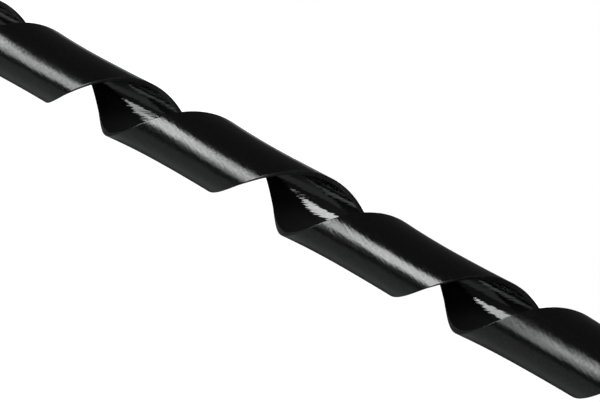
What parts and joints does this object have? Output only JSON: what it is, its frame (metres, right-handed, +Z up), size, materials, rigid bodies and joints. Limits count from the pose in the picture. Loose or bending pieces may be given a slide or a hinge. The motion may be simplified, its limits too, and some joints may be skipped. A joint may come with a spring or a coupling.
{
  "type": "spiral cable wrap",
  "caption": "Black plastic strip wound into an open helical tube that wraps round a bundle of cables and lets single cables out between its turns.",
  "frame": {"origin": "on the floor plane, below the tube's axis and the middle of its length", "axes": "+X along the tube, +Z up from the floor, +Y to the far side"},
  "size_m": [1, 0.0231, 0.0224],
  "materials": {
    "black_plastic": "satin gloss, with faint die lines along the strip"
  },
  "bodies": {
    "root": {"spiral_strip": "black_plastic"}
  },
  "joints": []
}
